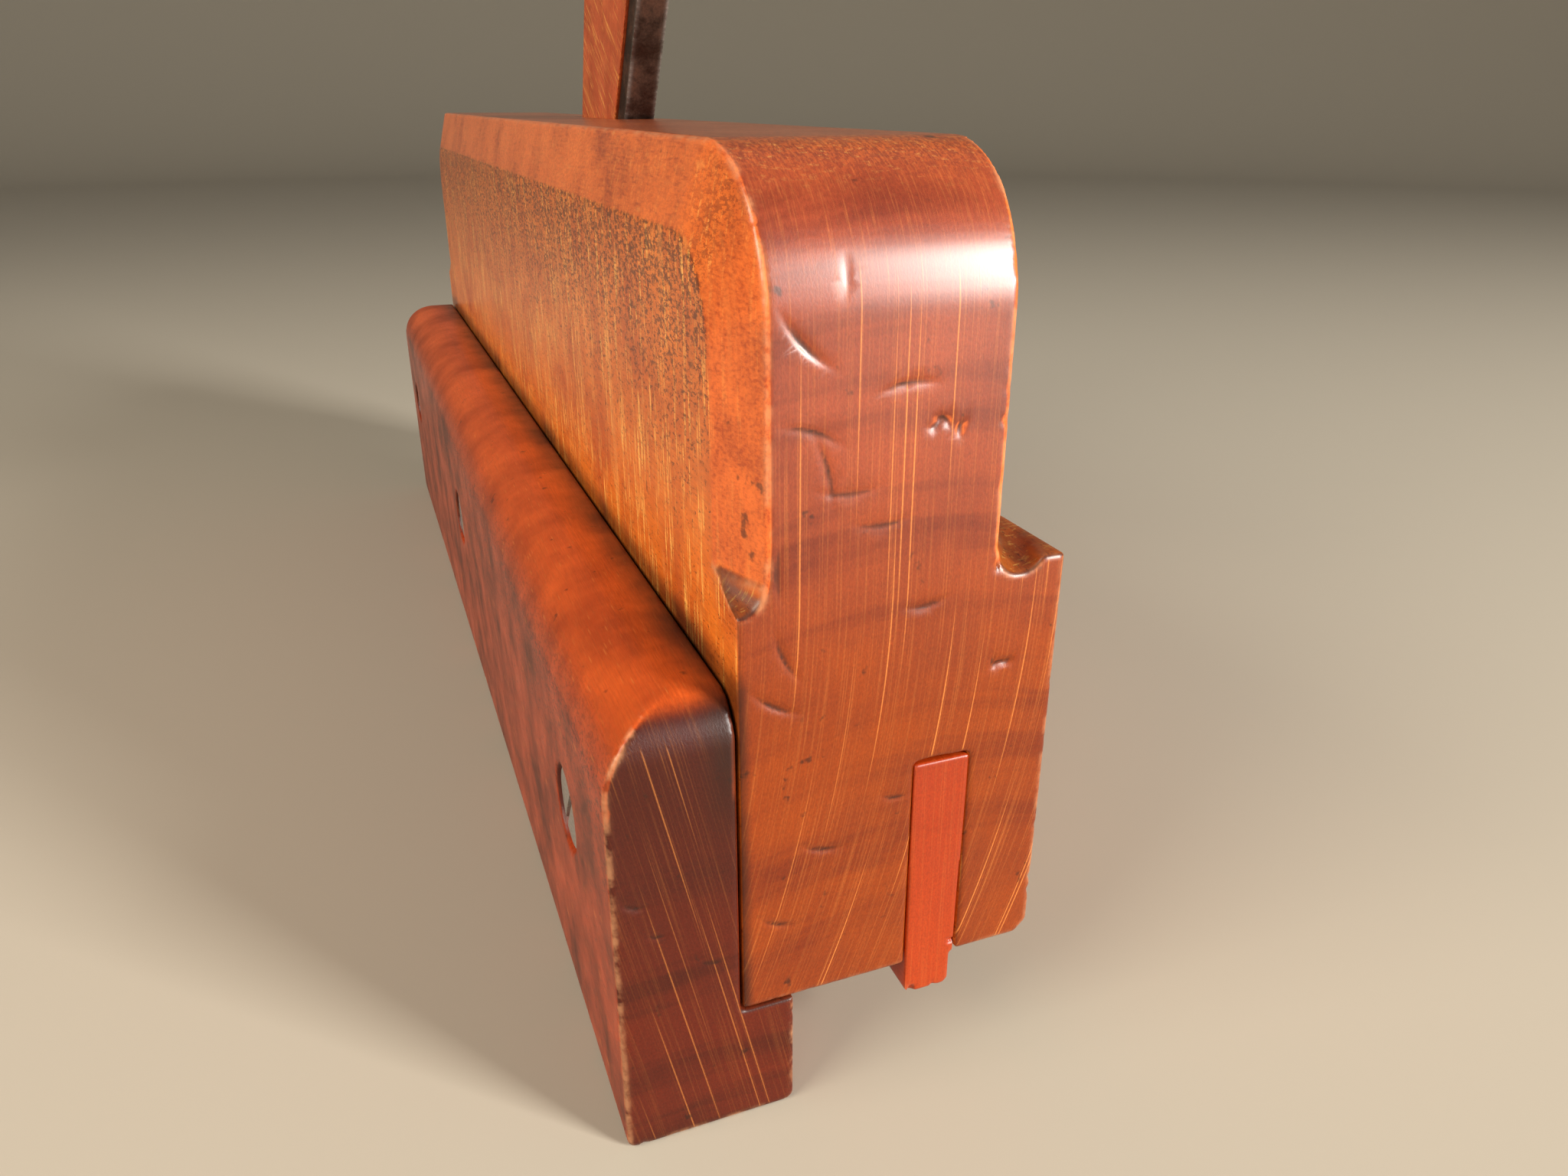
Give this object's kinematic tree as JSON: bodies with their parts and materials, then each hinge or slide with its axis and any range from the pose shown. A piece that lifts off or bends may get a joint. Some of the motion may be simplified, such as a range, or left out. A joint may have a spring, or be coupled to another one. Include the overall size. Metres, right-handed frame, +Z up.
{
  "type": "wooden grooving plane",
  "caption": "Beech grooving plane with a rabbeted side fence, boxwood tongue along the sole, narrow iron and wedge.",
  "frame": {"origin": "on the underside of the fence's foot, under the middle of the whole plane's box", "axes": "+X from toe to heel along the sole, +Y from the fence towards the shaving escapement, +Z up"},
  "size_m": [0.2414, 0.048, 0.1556],
  "materials": {
    "waxed_beech": "old beech, waxed and polished by handling",
    "boxwood": "close-grained boxwood, worn smooth",
    "dark_beech": "old beech, darker, waxed",
    "wedge_beech": "oiled beech",
    "forged_iron": "dark forged iron with light rust",
    "screw_steel": "dull steel"
  },
  "bodies": {
    "plane_body": {"stock": "waxed_beech", "boxing_heel": "boxwood", "boxing_toe": "boxwood", "fence": "dark_beech", "fence_screw_heel": "screw_steel", "fence_screw_middle": "screw_steel", "fence_screw_toe": "screw_steel"},
    "iron": {"iron": "forged_iron"},
    "wedge": {"wedge": "wedge_beech"}
  },
  "joints": [
    {"name": "iron_slide", "type": "slide", "parent": "plane_body", "child": "iron", "axis": [0.5736, 0, 0.8192], "range_m": [0, 0.11]},
    {"name": "wedge_slide", "type": "slide", "parent": "plane_body", "child": "wedge", "axis": [0.5736, 0, 0.8192], "range_m": [0, 0.095]}
  ]
}
